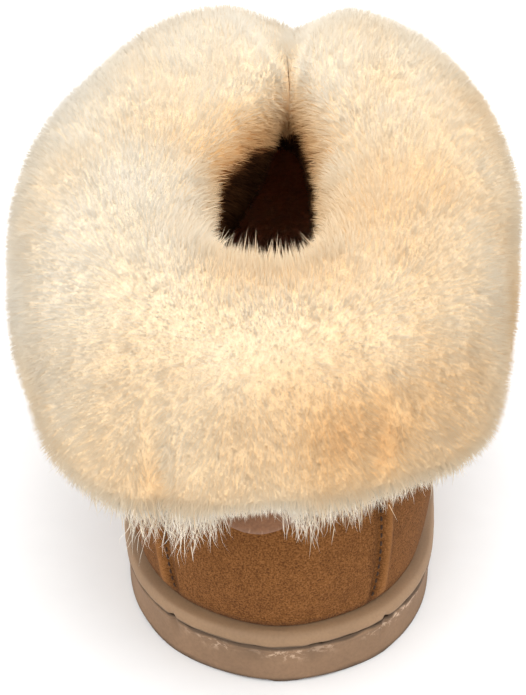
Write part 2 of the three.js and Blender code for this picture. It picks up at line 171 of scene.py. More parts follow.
# How far below its top the wool's inner side turns to painted shade, over what height, and the near-black
# tone of that painted shade
SHADE_FROM = {
    "turn": (-188, -168, -150, -122, -100, 100, 120, 150, 176),
    "below": (21, 21.5, 22, 15, 15, 17, 19, 20.5, 20.5),
}
SHADE_EDGE = 2.6
SHADE_TONE = 0.02

# Wisps that hang below the hem: where, how long, how many hairs, how far they fan out and lean
WISPS = table(
    ("turn", "length", "count", "fan", "lean"),
    (8, 7, 150, 1.8, 0.02),
    (4.5, 4.5, 80, 2.0, 0.2),
    (-12, 6.5, 60, 2.0, 0.3),
    (-17, 9, 60, 2.6, -0.2),
    (-22, 9.5, 50, 2.5, 0.3),
    (-27, 8.5, 50, 2.5, -0.3),
    (-32, 6, 40, 2.5, -0.15),
    (15, 4.5, 60, 3.0, 0.2),
    (24, 3.5, 50, 3.0, -0.1),
)

# Parts of the pile, each a mesh of its own, by turn
WOOL_SECTORS = table(
    ("name", "from", "to"),
    ("wool_back", -48, 48),
    ("wool_right", 48, 120),
    ("wool_left", -120, -48),
    ("wool_front_right", 120, 200),
    ("wool_front_left", -200, -120),
)

# Soft creases of the suede across the vamp: place along the shoe, depth, width and slant
CREASES = table(
    ("y", "x", "reach", "depth", "width", "slant"),
    (96, 0, 40, 1.1, 5, 0.18),
    (110, 6, 34, 0.8, 4, 0.1),
    (126, -6, 30, 0.7, 5, -0.08),
    (78, -22, 18, 0.9, 5, 0.4),
    (80, 24, 18, 0.9, 5, -0.4),
    (150, 8, 22, 0.4, 6, 0.0),
)

# Raised seams: station on each side, and the rows that the stitching follows
SEAMS = table(
    ("outer", "inner", "station_length", "rows"),
    (1.97, 2.27, 15, (0.25, 6.4)),
    (5.35, 5.35, 40, (0.25, 8.6)),
)
STITCH_PITCH = 2.3
STITCH_LENGTH = 1.5
STITCH_ASIDE = 2.2

# Worn places on the sole's side: turn round the heel in stations, width and depth
NICKS = table(
    ("station", "width", "depth"),
    (-2.05, 1.1, 0.9),
    (2.0, 1.0, 0.9),
    (0.75, 2.2, 0.35),
    (-0.6, 3.0, 0.3),
)

# How far from the sole's crack its faces are made finer
CRACK_REACH = {"outsole": 3.2, "band": 2.5}
LAST_CRACK = 120.0

# Light: the studio's strength all round, and square lamps that look at the boot, in metres and watts
WORLD_STRENGTH = 1.46
LAMPS = table(
    ("name", "place", "size", "power"),
    ("top_light", (0.15, -0.25, 1.2), 0.9, 5),
    ("camera_light", (-0.3, -1.9, 1.3), 1.2, 9),
    ("left_light", (-1.7, -0.7, 0.8), 1.2, 4),
)
LAMP_TARGET = (0, 0.04, 0.06)

# Camera: where it looks from, in degrees and metres, and the photo's scale at the boot
VIEW_AZIMUTH = 0.0
VIEW_ELEVATION = 32.1
VIEW_DISTANCE = 0.52
VIEW_TARGET = (-0.004, -0.0052, 0.0715)
PIXELS_PER_MM = 4.38
IMAGE_HEIGHT = 695
SENSOR = 36.0


def length_property(name, description, length, least, most):
    return bpy.props.FloatProperty(
        name=name,
        description=description,
        default=length * MM,
        min=least * MM,
        max=most * MM,
        unit="LENGTH",
    )


def count_property(name, description, count, most):
    return bpy.props.IntProperty(name=name, description=description, default=count, min=100, max=most)


def colour_property(name, description, colour):
    return bpy.props.FloatVectorProperty(
        name=name,
        description=description,
        default=colour,
        subtype="COLOR",
        size=3,
        min=0,
        max=1,
    )


class BootSizes(bpy.types.PropertyGroup):
    """Sizes that a user may change."""

    pile_depth: length_property("Pile depth", "How far the wool stands over its skin", 2.7, 1, 12)
    hair_length: length_property("Hair length", "Length of a hair on the cuff", 5.5, 2, 20)
    hair_width: length_property("Hair width", "Width of a tuft of hairs at its root", 0.24, 0.05, 1)
    hairs: count_property("Hairs", "Hairs on the whole cuff, besides those of its hem", 203000, 240000)
    hem_hairs: count_property("Hem hairs", "Longer hairs along the hem of the cuff", 8000, 25000)
    thread: length_property("Thread", "Thickness of the sewing thread", 0.6, 0.1, 1)


class BootColours(bpy.types.PropertyGroup):
    """Colours that a user may change, as linear values."""

    suede: colour_property("Suede", "Chestnut of the upper", (0.175, 0.068, 0.018))
    suede_dark: colour_property("Suede dark", "Low places of its nap", (0.06, 0.021, 0.006))
    suede_light: colour_property("Suede light", "Brushed places of its nap", (0.3, 0.132, 0.045))
    tab: colour_property("Tab", "Half-moon tab on the heel", (0.22, 0.1, 0.048))
    tab_edge: colour_property("Tab edge", "Cut edge of the tab", (0.62, 0.4, 0.25))
    strip: colour_property("Strip", "Band over the outsole", (0.28, 0.17, 0.092))
    rubber: colour_property("Rubber", "Moulded outsole", (0.25, 0.15, 0.086))
    scuff: colour_property("Scuff", "Scuffed rubber", (0.6, 0.43, 0.3))
    lining: colour_property("Lining", "Pile inside the boot", (0.98, 0.48, 0.24))
    thread: colour_property("Thread", "Sewing thread", (0.05, 0.025, 0.013))
    floor: colour_property("Floor", "Floor of the stage", (0.86, 0.86, 0.86))


# Numbers


def read_table(values, rows):
    """Values of a column at fractional rows, by Catmull-Rom."""
    values = np.asarray(values, float)
    rows = np.asarray(rows, float)
    last = len(values) - 1
    i = np.clip(np.floor(rows).astype(int), 0, last - 1)
    a, b, c, d = (values[np.clip(i + k, 0, last)] for k in (-1, 0, 1, 2))
    s = rows - i
    return b + 0.5 * s * (c - a + s * (2 * a - 5 * b + 4 * c - d + s * (3 * (b - c) + d - a)))


def smoothstep(low, high, x):
    s = np.clip((x - low) / (high - low), 0, 1)
    return s * s * (3 - 2 * s)


def bump(x, width):
    """A bell of height 1 round x = 0."""
    return np.exp(-((x / width) ** 2))


def unit(v):
    return v / np.maximum(np.linalg.norm(v, axis=-1, keepdims=True), 1e-9)


def lattice(corner, seed):
    """A random number from -1 to 1 for each integer corner."""
    x, y, z = (corner[..., k].astype(np.int64) for k in range(3))
    n = (x * 73856093) ^ (y * 19349663) ^ (z * 83492791) ^ (seed * 2654435761)
    n = (n ^ (n >> 13)) * 1274126177 & 0x7FFFFFFF
    n = (n ^ (n >> 11)) * 69069 & 0x7FFFFFFF
    return (n % 65536) / 32767.5 - 1


def soft_noise(points, size, seed):
    """Smooth noise from about -1 to 1 at points, with cells of a size."""
    q = np.asarray(points, float) / size
    base = np.floor(q)
    f = q - base
    f = f * f * (3 - 2 * f)
    total = 0
    for corner in np.ndindex(2, 2, 2):
        weight = np.prod(np.where(np.array(corner) == 1, f, 1 - f), axis=-1)
        total = total + weight * lattice(base + np.array(corner), seed)
    return total


# The shoe's own surfaces, in millimetres


def spring_at(y):
    s = np.clip((y - SPRING_FROM) / (HEEL_BACK + SOLE_LENGTH - SPRING_FROM), 0, 1)
    return TOE_SPRING * s**2


def sole_top_at(y):
    """Height of the outsole's upper edge."""
    return OUTSOLE_HEIGHT + spring_at(y)


def sole_line_at(y):
    """Height at which the upper meets the sole."""
    return sole_top_at(y) + MIDSOLE_HEIGHT + 2 * GAP


def oval_points(oval, turn):
    """Points of an oval at turns in degrees from +X."""
    a = np.radians(turn)
    c, s = np.cos(a), np.sin(a)
    squared = [np.sign(v) * np.abs(v) ** oval["bulge"] for v in (c, s)]
    middle = (oval["back"] + oval["front"]) / 2
    half = (oval["front"] - oval["back"]) / 2
    x = oval["shift"] + oval["width"] / 2 * squared[0]
    return np.stack([x, middle + half * squared[1], np.zeros_like(x)], -1)


def outline_stations():
    side = np.array([STATIONS["along"], STATIONS["inner"], STATIONS["outer"]])
    y = HEEL_BACK + side[0] * SOLE_LENGTH
    outer = np.stack([side[2] * BALL_WIDTH, y], -1)
    inner = np.stack([-side[1] * BALL_WIDTH, y], -1)[::-1]
    heel = [[0, HEEL_BACK]]
    toe = [[TOE_TIP_SHIFT * BALL_WIDTH, HEEL_BACK + SOLE_LENGTH]]
    return np.concatenate([heel, outer, toe, inner])


def collar_stations():
    turn = np.array(STATIONS["turn"], float)
    turns = np.concatenate([[-90], turn, [90], (180 - turn)[::-1]])
    return oval_points(COLLAR, turns)[:, :2]


def closed_curve(stations, t):
    """Points of the closed centripetal curve through stations, at t from 0 to 1."""
    n = len(stations)
    at = np.asarray(t, float) % 1 * n
    i = np.floor(at).astype(int)
    s = (at - i)[..., None]
    p = [stations[(i + k) % n] for k in (-1, 0, 1, 2)]
    knots = [np.maximum(np.linalg.norm(p[k + 1] - p[k], axis=-1), 1e-6) ** 0.5 for k in range(3)]
    k0, k1, k2 = (k[..., None] for k in knots)
    m1 = ((p[1] - p[0]) / k0 - (p[2] - p[0]) / (k0 + k1) + (p[2] - p[1]) / k1) * k1
    m2 = ((p[2] - p[1]) / k1 - (p[3] - p[1]) / (k1 + k2) + (p[3] - p[2]) / k2) * k1
    a = 2 * p[1] - 2 * p[2] + m1 + m2
    b = -3 * p[1] + 3 * p[2] - 2 * m1 - m2
    return a * s**3 + b * s**2 + m1 * s + p[1]


OUTLINE = outline_stations()
COLLAR_LINE = collar_stations()


def outline_points(t, inset):
    """Points of the sole outline at t, moved inwards."""
    step = 1e-4
    t = np.asarray(t, float)
    along = unit(closed_curve(OUTLINE, t + step) - closed_curve(OUTLINE, t - step))
    inward = np.stack([-along[..., 1], along[..., 0]], -1)
    return closed_curve(OUTLINE, t) + inward * np.asarray(inset)[..., None]


def upper_points(t, row):
    """Points of the upper's outer face: t round it, and row up it."""
    base = outline_points(t, FEATHER_INSET - read_table(RINGS["spread"], row))
    pull = read_table(RINGS["pull"], row)
    toeward = smoothstep(0, HEEL_BACK + SOLE_LENGTH, base[..., 1])
    heel_rise = read_table(RINGS["heel_rise"], row)
    rise = heel_rise + (read_table(RINGS["toe_rise"], row) - heel_rise) * toeward
    lift = sole_line_at(base[..., 1]) - sole_line_at(0)
    z = sole_line_at(0) + lift * (1 - smoothstep(0, 1, pull * 1.3)) + rise
    xy = base + (closed_curve(COLLAR_LINE, t) - base) * pull[..., None]
    return np.concatenate([xy, z[..., None]], -1)


def upper_normals(t, row):
    round_it = upper_points(t + 1e-3, row) - upper_points(t - 1e-3, row)
    up = upper_points(t, row + 0.05) - upper_points(t, np.maximum(0, row - 0.05))
    return unit(np.cross(round_it, up))


def cuff_value(name, turn):
    """A value of the CUFF table at turns."""
    turns = np.array(CUFF["turn"], float)
    k = np.clip(np.searchsorted(turns, turn), 1, len(turns) - 1)
    share = np.clip((turn - turns[k - 1]) / (turns[k] - turns[k - 1]), 0, 1)
    return read_table(CUFF[name], k - 1 + share)


def mouth_points(turn):
    """Points of the mouth's outline."""
    back = np.sin(np.radians(turn)) < 0
    bulges = (MOUTH["front_bulge"], MOUTH["back_bulge"])
    front_oval, back_oval = (oval_points({**MOUTH, "bulge": bulge}, turn) for bulge in bulges)
    p = np.where(back[..., None], back_oval, front_oval)
    cut = MOUTH_CUT["x"] + MOUTH_CUT["slope"] * (p[..., 1] - MOUTH_CUT["y"])
    soft = MOUTH_CUT["softness"]
    p[..., 0] = soft * np.logaddexp(p[..., 0] / soft, cut / soft)
    return p


def cuff_ring_points(turn, row):
    """Points of the cuff before its ends are rounded off."""
    out = read_table(CUFF_SECTION["out"], row)
    up = read_table(CUFF_SECTION["up"], row)
    collar = oval_points(COLLAR, turn - 90)
    across = oval_points(COLLAR, turn - 89) - oval_points(COLLAR, turn - 91)
    normal = unit(np.stack([across[..., 1], -across[..., 0], across[..., 2]], -1))
    inside = collar + (mouth_points(turn - 90) - collar) * np.maximum(-out, 0)[..., None]
    outside = normal * (np.maximum(out, 0) * cuff_value("outer", turn))[..., None]
    p = inside + outside
    hem, top = cuff_value("hem", turn), cuff_value("top", turn)
    p[..., 2] = hem + (top - hem) * up
    return p


def ring_middles():
    """Turns, and the middle of the cuff's section at each."""
    turns = np.linspace(*WOOL_ENDS, 181)
    rings = [cuff_ring_points(turns, np.full_like(turns, k)) for k in range(SECTION_END + 1)]
    return turns, np.mean(rings, 0)


MIDDLES = ring_middles()


def section_middle(turn):
    turns, middles = MIDDLES
    return np.stack([np.interp(turn, turns, middles[:, k]) for k in range(3)], -1)


def cuff_points(turn, row):
    """Points of the cuff's surface, at turns in degrees from the back and rows of its section."""
    turn, row = np.broadcast_arrays(np.asarray(turn, float), np.asarray(row, float))
    p = cuff_ring_points(turn, row)
    middle = section_middle(turn)
    inset = np.minimum(turn - WOOL_ENDS[0], WOOL_ENDS[1] - turn) / CUFF_END_LENGTH
    late = 1 - np.clip(inset, 0, 1)
    shrink = CUFF_END_SHRINK * (1 - (1 - late**2.5) ** 0.4)
    shrink = shrink * (INNER_SHRINK + (1 - INNER_SHRINK) * smoothstep(4.5, 7.5, row))
    return p + (middle - p) * shrink[..., None]


def frame_of(points, turn, row):
    """Points of a surface, outward normals, directions down the section, and round the collar."""
    p = points(turn, row)
    down = unit(points(turn, row + 0.12) - points(turn, row - 0.12))
    round_it = unit(points(turn + 0.6, row) - points(turn - 0.6, row))
    normal = unit(np.cross(down, round_it))
    return p, normal, down, round_it


def end_nearness(turn, width):
    """1 where the wool's two ends meet, falling to 0 away from there."""
    return bump(np.minimum(turn - WOOL_ENDS[0], WOOL_ENDS[1] - turn), width)


def tamed_normals(p, normal, turn):
    """Normals that, near the wool's two ends, point away from the middle of its section."""
    outward = unit(p - section_middle(turn))
    odd = smoothstep(0.55, 0.2, np.sum(normal * outward, -1))
    share = 3 * np.maximum(end_nearness(turn, 7), odd * end_nearness(turn, 20))
    return unit(normal + share[..., None] * outward)


def wool_points(turn, row):
    """The cuff's surface with the wool's soft lumps and partings."""
    p, normal, _, _ = frame_of(cuff_points, turn, row)
    normal = tamed_normals(p, normal, turn)
    lumps = 0.9 * soft_noise(p, 24, 1) + 0.45 * soft_noise(p, 11, 2) + 0.1 * soft_noise(p, 5, 7)
    skirt = soft_noise(p * np.array([1, 1, 0.45]), 13, 9) * smoothstep(7.5, 9.5, row)
    height = (lumps + 0.9 * skirt) * (0.35 + 0.65 * smoothstep(1, 5, row))
    height = height + spots_height(SWELLS, turn, row) + spots_height(PARTINGS, turn, row)
    return p + normal * height[..., None]


def spots_height(spots, turn, row):
    """The sum of soft spots at turns and rows."""
    height = 0
    for spot in spots:
        across = bump(turn - spot["turn"], spot["turns"])
        height = height + spot["height"] * across * bump(row - spot["row"], spot["rows"])
    return height


# Meshes


def new_object(name, mesh):
    obj = bpy.data.objects.new(name, mesh)
    bpy.context.scene.collection.objects.link(obj)
    return obj


def object_from(bm, name):
    mesh = bpy.data.meshes.new(name)
    bm.to_mesh(mesh)
    bm.free()
    return new_object(name, mesh)


def shade_smooth(mesh):
    mesh.polygons.foreach_set("use_smooth", [True] * len(mesh.polygons))
    mesh.update()


def vertex_array(mesh):
    co = np.empty(len(mesh.vertices) * 3)
    mesh.vertices.foreach_get("co", co)
    return co.reshape(-1, 3)


def normal_array(mesh):
    normals = np.empty(len(mesh.vertices) * 3)
    mesh.vertex_normals.foreach_get("vector", normals)
    return normals.reshape(-1, 3)


def apply_modifiers(obj):
    """Puts a piece's modifiers into its mesh."""
    graph = bpy.context.evaluated_depsgraph_get()
    mesh = bpy.data.meshes.new_from_object(obj.evaluated_get(graph))
    obj.modifiers.clear()
    obj.data = mesh
    return mesh


def refined_copy(node, name, crease_degrees):
    """A finer copy of a CAD node: doubles merged, triangles joined, sharp edges kept."""
    bm = bmesh.new()
    bm.from_mesh(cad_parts[node].data)
    bmesh.ops.remove_doubles(bm, verts=bm.verts, dist=0.01 * MM)
    bmesh.ops.join_triangles(
        bm,
        faces=bm.faces,
        cmp_seam=False,
        cmp_sharp=False,
        cmp_uvs=False,
        cmp_vcols=False,
        cmp_materials=False,
        angle_face_threshold=math.radians(35),
        angle_shape_threshold=math.radians(60),
    )
    crease = bm.edges.layers.float.new("crease_edge")
    for edge in bm.edges:
        if edge.is_manifold and edge.calc_face_angle() > math.radians(crease_degrees):
            edge[crease] = 0.9
    obj = object_from(bm, name)
    smoother = obj.modifiers.new("Smooth", "SUBSURF")
    smoother.levels = smoother.render_levels = 2
    apply_modifiers(obj)
    shade_smooth(obj.data)
    return obj


def refine_crack(obj, reach):
    """Divides the faces within reach of the line between the outsole and the band."""
    bm = bmesh.new()
    bm.from_mesh(obj.data)
    middles = np.array([f.calc_center_median() for f in bm.faces]) / MM
    faces = [f for f, height in zip(bm.faces, crack_height(middles)) if abs(height) < reach]
    edges = list({e for f in faces for e in f.edges})
    bmesh.ops.subdivide_edges(bm, edges=edges, cuts=2, use_grid_fill=True)
    bm.to_mesh(obj.data)
    bm.free()
    shade_smooth(obj.data)


def displace(obj, height):
    """Moves each vertex along its normal by height(points, normals), all in millimetres."""
    mesh = obj.data
    points = vertex_array(mesh)
    normals = normal_array(mesh)
    moved = points + normals * (height(points / MM, normals) * MM)[:, None]
    mesh.vertices.foreach_set("co", moved.ravel())
    mesh.update()


def set_material(obj, *materials):
    obj.data.materials.clear()
    for material in materials:
        obj.data.materials.append(material)


def finish_piece(obj, slot, *nodes):
    """Puts a finished piece on the boot."""
    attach(obj, "root")
    if nodes:
        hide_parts(*nodes)


# Materials

WHITE = (1, 1, 1)


class Finish:
    """A material's nodes, added one after another."""

    def __init__(self, name, roughness, sheen=0.0, specular=0.3):
        self.material = bpy.data.materials.new(name)
        self.material.use_nodes = True
        self.nodes = self.material.node_tree.nodes
        self.links = self.material.node_tree.links
        self.shader = self.nodes["Principled BSDF"]
        self.shader.inputs["Roughness"].default_value = roughness
        self.shader.inputs["Sheen Weight"].default_value = sheen
        self.shader.inputs["Sheen Roughness"].default_value = 0.6
        self.shader.inputs["Specular IOR Level"].default_value = specular
        self.place = self.nodes.new("ShaderNodeTexCoord").outputs["Object"]

    def grain(self, per_metre, detail=2.0, roughness=0.55, distortion=0.0):
        """Noise on the piece's own coordinates, from 0 to 1."""
        node = self.nodes.new("ShaderNodeTexNoise")
        node.inputs["Scale"].default_value = per_metre
        node.inputs["Detail"].default_value = detail
        node.inputs["Roughness"].default_value = roughness
        node.inputs["Distortion"].default_value = distortion
        self.links.new(self.place, node.inputs["Vector"])
        return node.outputs["Fac"]

    def ramp(self, value, stops):
        """Colours or greys along a value. stops are (place, colour)."""
        node = self.nodes.new("ShaderNodeValToRGB")
        points = node.color_ramp.elements
        while len(points) < len(stops):
            points.new(0.5)
        for point, (place, colour) in zip(points, stops):
            point.position = place
            point.color = (*colour, 1)
        self.links.new(value, node.inputs["Fac"])
        return node.outputs["Color"]

    def mottled(self, value, colour, darkest, low=0.35, high=0.65):
        """A colour that falls to a darker share of itself where a value is low."""
        dark = tuple(darkest * c for c in colour)
        return self.ramp(value, [(low, dark), (high, tuple(colour))])

    def multiply(self, share, a, b):
        return self.blend(share, a, b, "MULTIPLY")

    def mask(self, value, low, high):
        """0 below low and 1 above high."""
        node = self.nodes.new("ShaderNodeMapRange")
        node.interpolation_type = "SMOOTHSTEP"
        node.inputs["From Min"].default_value = low
        node.inputs["From Max"].default_value = high
        self.links.new(value, node.inputs["Value"])
        return node.outputs["Result"]

    def attribute(self, name):
        node = self.nodes.new("ShaderNodeAttribute")
        node.attribute_name = name
        return node.outputs["Fac"]

    def scaled(self, name, factor):
        """An attribute times a factor."""
        node = self.nodes.new("ShaderNodeMath")
        node.operation = "MULTIPLY"
        node.inputs[1].default_value = factor
        self.links.new(self.attribute(name), node.inputs[0])
        return node.outputs[0]

    def blend(self, share, a, b, kind="MIX"):
        """Colour a towards colour b by share. Each may be an output or a plain value."""
        node = self.nodes.new("ShaderNodeMix")
        node.data_type = "RGBA"
        node.blend_type = kind
        sockets = (node.inputs[0], node.inputs[6], node.inputs[7])
        for socket, value in zip(sockets, (share, a, b)):
            if isinstance(value, bpy.types.NodeSocket):
                self.links.new(value, socket)
            elif socket.type == "RGBA":
                socket.default_value = (*value, 1)
            else:
                socket.default_value = value
        return node.outputs[2]

    def colour(self, output):
        self.links.new(output, self.shader.inputs["Base Color"])

    def relief(self, *layers):
        """Bumps, as (value, depth in metres, strength), one over another."""
        before = None
        for value, depth, strength in layers:
            node = self.nodes.new("ShaderNodeBump")
            node.inputs["Strength"].default_value = strength
            node.inputs["Distance"].default_value = depth
            self.links.new(value, node.inputs["Height"])
            if before is not None:
                self.links.new(before, node.inputs["Normal"])
            before = node.outputs["Normal"]
        self.links.new(before, self.shader.inputs["Normal"])


def suede_finish(colours):
    finish = Finish("suede", 0.95, sheen=0.02, specular=0.05)
    speckle = finish.grain(2300, detail=3, roughness=0.7)
    mottle = finish.grain(260, detail=4, roughness=0.65)
    drift = finish.grain(28, detail=2)
    nap = finish.ramp(
        speckle,
        [(0.3, colours.suede_dark), (0.5, colours.suede), (0.7, colours.suede_light)],
    )
    patches = finish.ramp(mottle, [(0.3, (0.6, 0.57, 0.53)), (0.7, WHITE)])
    shade = finish.multiply(0.55, nap, patches)
    broad = finish.ramp(drift, [(0.35, (0.82, 0.8, 0.78)), (0.65, WHITE)])
    shade = finish.multiply(0.8, shade, broad)
    # Painted highlight: the raised seams' beads lighter
    shade = finish.blend(finish.scaled("bead_highlight", 0.45), shade, colours.suede_light)
    # Painted shade: the sunk lines of stitches darker
    finish.colour(finish.blend(finish.scaled("sunk", 0.75), shade, colours.suede_dark))
    finish.relief((mottle, 0.5 * MM, 0.25), (speckle, 0.25 * MM, 0.6))
    return finish.material


def lining_finish(colours):
    finish = Finish("lining_pile", 1.0, sheen=0.1, specular=0.05)
    curl = finish.grain(700, detail=3, roughness=0.7, distortion=0.6)
    finish.colour(finish.mottled(curl, colours.lining, 0.75, high=0.7))
    finish.relief((curl, 0.8 * MM, 0.7))
    return finish.material


def tab_finish(colours):
    finish = Finish("tab_suede", 0.85, sheen=0.1, specular=0.2)
    grain = finish.grain(1500, detail=3)
    drift = finish.grain(150, detail=3)
    face = finish.mottled(grain, colours.tab, 0.75)
    face = finish.multiply(0.5, face, finish.mottled(drift, WHITE, 0.7, 0.3, 0.7))
    finish.colour(finish.blend(finish.attribute("edge"), face, colours.tab_edge))
    finish.relief((grain, 0.2 * MM, 0.4))
    return finish.material


def strip_finish(colours):
    finish = Finish("strip_rubber", 0.62, specular=0.35)
    drift = finish.grain(45, detail=3)
    fine = finish.grain(1600, detail=2)
    face = finish.mottled(drift, colours.strip, 0.84)
    face = finish.multiply(0.6, face, finish.mottled(fine, WHITE, 0.86, 0.3, 0.6))
    # Painted shade along the crack: the band's lower lip darker
    finish.colour(finish.blend(finish.attribute("painted_dark"), face, tuple(0.3 * c for c in colours.strip)))
    finish.relief((fine, 0.08 * MM, 0.35), (drift, 0.5 * MM, 0.2))
    return finish.material


def outsole_finish(colours):
    finish = Finish("sole_rubber", 0.75, specular=0.3)
    drift = finish.grain(60, detail=4)
    fine = finish.grain(1300, detail=3, roughness=0.65)
    scratch = finish.grain(420, detail=4, roughness=0.7, distortion=0.4)
    face = finish.mottled(drift, colours.rubber, 0.82)
    face = finish.multiply(0.7, face, finish.mottled(fine, WHITE, 0.8, 0.3, 0.62))
    rubbed = finish.multiply(1.0, finish.mask(scratch, 0.5, 0.62), finish.attribute("scuff"))
    face = finish.blend(rubbed, face, colours.scuff)
    # Painted shade in the crack and the cuts, and a darker bottom edge
    finish.colour(finish.blend(finish.attribute("painted_dark"), face, tuple(0.3 * c for c in colours.rubber)))
    finish.relief((fine, 0.12 * MM, 0.4), (scratch, 0.25 * MM, 0.25))
    return finish.material


def thread_finish(colours):
    finish = Finish("thread", 0.8, specular=0.2)
    twist = finish.grain(2500, detail=2)
    finish.colour(finish.mottled(twist, colours.thread, 0.5))
    return finish.material


# Colours of the wool along its tone, as linear values. The near-black and dark brown tones paint the
# shade inside the mouth, and the palest tone, the hem's whitish wool, is greyed to paint the shade under
# the cuff's roll
WOOL_TONES = (
    (0.0, (0.013, 0.005, 0.003)),
    (0.2, (0.26, 0.11, 0.04)),
    (0.35, (0.66, 0.38, 0.17)),
    (0.5, (0.8, 0.565, 0.33)),
    (0.65, (0.835, 0.68, 0.485)),
    (0.8, (0.84, 0.755, 0.62)),
    (1.0, (0.84, 0.79, 0.71)),
)


def wool_finish():
    """Colour of a hair from its own map: u is its tone, v runs from root to tip, along which a painted
    warm shade darkens the hair towards its root.
    """
    finish = Finish("wool_pile", 1.0, specular=0)
    own_map = finish.nodes.new("ShaderNodeUVMap")
    own_map.uv_map = "OFBake"
    split = finish.nodes.new("ShaderNodeSeparateXYZ")
    finish.links.new(own_map.outputs["UV"], split.inputs["Vector"])
    tone = finish.ramp(split.outputs["X"], WOOL_TONES)
    # Painted warm shade deep in the pile: each hair darker and warmer towards its root
    root = finish.ramp(split.outputs["Y"], [(0.2, (1, 0.91, 0.8)), (0.75, WHITE)])
    finish.colour(finish.multiply(1.0, tone, root))
    return finish.material


def fleece_finish():
    """The wool's body under the hairs, darkened and warmed unevenly as painted shade deep in the pile."""
    finish = Finish("fleece_body", 1.0, specular=0)
    curl = finish.grain(500, detail=4, roughness=0.7)
    tone = finish.ramp(finish.attribute("tone"), WOOL_TONES)
    # Painted warm shade of the pile's depth, varied by the curl noise
    depth = finish.ramp(curl, [(0.3, (1, 0.89, 0.75)), (0.7, (1, 0.94, 0.84))])
    finish.colour(finish.multiply(1.0, tone, depth))
    finish.relief((curl, 1.0 * MM, 0.5))
    return finish.material


# Wool

SAG = np.array([0, 0, -1.0])


def pile_inset(row):
    """How far the fleece's body lies under the tips of its hairs, as a share of the pile."""
    return np.minimum(smoothstep(-0.3, 1.6, row), smoothstep(SECTION_END + 0.3, 10.6, row))


def wool_tone_and_shade(p, turn, row):
    """Tone of the wool, through apricot and cream to white at the hem, with painted shade inside the
    mouth, in the crease and along the partings, and a painted warm glow round the mouth's rim.
    """
    patches = 0.13 * soft_noise(p, 28, 3) + 0.05 * soft_noise(p, 12, 4)
    height = smoothstep(58, 118, p[..., 2])
    right = smoothstep(-20, 40, p[..., 0])
    tone = 0.69 + 0.1 * height - 0.07 * right + patches
    # Painted light: a warm apricot glow round the mouth's rim, away from its front, for light scattered
    # through the wool
    mouth = bump(row - 3.6, 1.3) * smoothstep(150, 60, np.abs(turn))
    tone = tone + spots_height(TONE_PATCHES, turn, row) - 0.08 * mouth
    # Paler towards the hem, where the palest tone also holds painted shade under the cuff's roll
    hem = smoothstep(9.3, 11.2, row) * (0.75 + 0.25 * soft_noise(p, 9, 5))
    tone = tone + (1 - tone) * hem
    # Painted shade inside the mouth: the inner side grows darker and more orange deeper down, more so at
    # the front, then near black below the listed depth
    inside = smoothstep(4.8, 3.2, row)
    below = cuff_value("top", turn) - p[..., 2] + 1.2 * soft_noise(p, 6, 6)
    shade_from = np.interp(turn, SHADE_FROM["turn"], SHADE_FROM["below"])
    front = smoothstep(60, 130, np.abs(turn))
    tone = tone - (0.16 + 0.26 * front) * inside * smoothstep(0.12, 1, below / shade_from)
    # Painted shade: warmer, darker wool in the crease where the two ends meet
    tone = tone - 0.05 * end_nearness(turn, 7) * smoothstep(6, 4.6, row)
    # Painted shade along the partings, darker where they dip
    tone = tone + 0.03 * spots_height(PARTINGS, turn, row)
    return tone + (SHADE_TONE - tone) * inside * smoothstep(0, SHADE_EDGE, below - shade_from)


def skin_points(sizes, turn, row):
    """Points of the fleece's body, under its pile."""
    p = wool_points(turn, row)
    inward = unit(section_middle(turn) - p)
    return p + inward * (sizes.pile_depth / MM * pile_inset(row))[:, None]


def fleece_body(sizes):
    """The closed body of the cuff, a pile's depth inside its solid."""
    columns, rows = FLEECE_GRID
    bm = bmesh.new()
    bmesh.ops.create_grid(bm, x_segments=columns, y_segments=rows, size=1.0)
    share = (np.array([v.co[:2] for v in bm.verts]) + 1) / 2
    first, last = WOOL_ENDS[0] + FLEECE_END_INSET, WOOL_ENDS[1] - FLEECE_END_INSET
    turn = first + (last - first) * share[:, 0]
    row = share[:, 1] * (SECTION_END + 1)
    open_row = np.minimum(row, SECTION_END)
    p = skin_points(sizes, turn, open_row)
    p = p + (skin_points(sizes, turn, np.zeros_like(turn)) - p) * (row - open_row)[:, None]
    tone = bm.verts.layers.float.new("tone")
    for vertex, place, shade in zip(bm.verts, p, wool_tone_and_shade(p, turn, open_row)):
        vertex.co = place * MM
        vertex[tone] = shade
    bmesh.ops.remove_doubles(bm, verts=bm.verts, dist=0.001 * MM)
    bmesh.ops.holes_fill(bm, edges=[e for e in bm.edges if e.is_boundary], sides=0)
    bmesh.ops.recalc_face_normals(bm, faces=bm.faces)
    return object_from(bm, "fleece")


def cut_slot(obj):
    """Takes the upper's wall, thickened by the gap, out of a piece."""
    bm = bmesh.new()
    bm.from_mesh(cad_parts["upper"].data)
    bmesh.ops.remove_doubles(bm, verts=bm.verts, dist=0.01 * MM)
    wall = object_from(bm, "wall_cutter")
    displace(wall, lambda p, n: np.full(len(p), WOOL_GAP))
    cut = obj.modifiers.new("Slot", "BOOLEAN")
    cut.operation = "DIFFERENCE"
    cut.solver = "EXACT"
    cut.object = wall
    apply_modifiers(obj)
    bpy.data.objects.remove(wall)


def tone_attribute(obj, values, name):
    """Puts a value at each vertex, for the piece's material."""
    attribute = obj.data.attributes.new(name, "FLOAT", "POINT")
    attribute.data.foreach_set("value", np.asarray(values, np.float32))


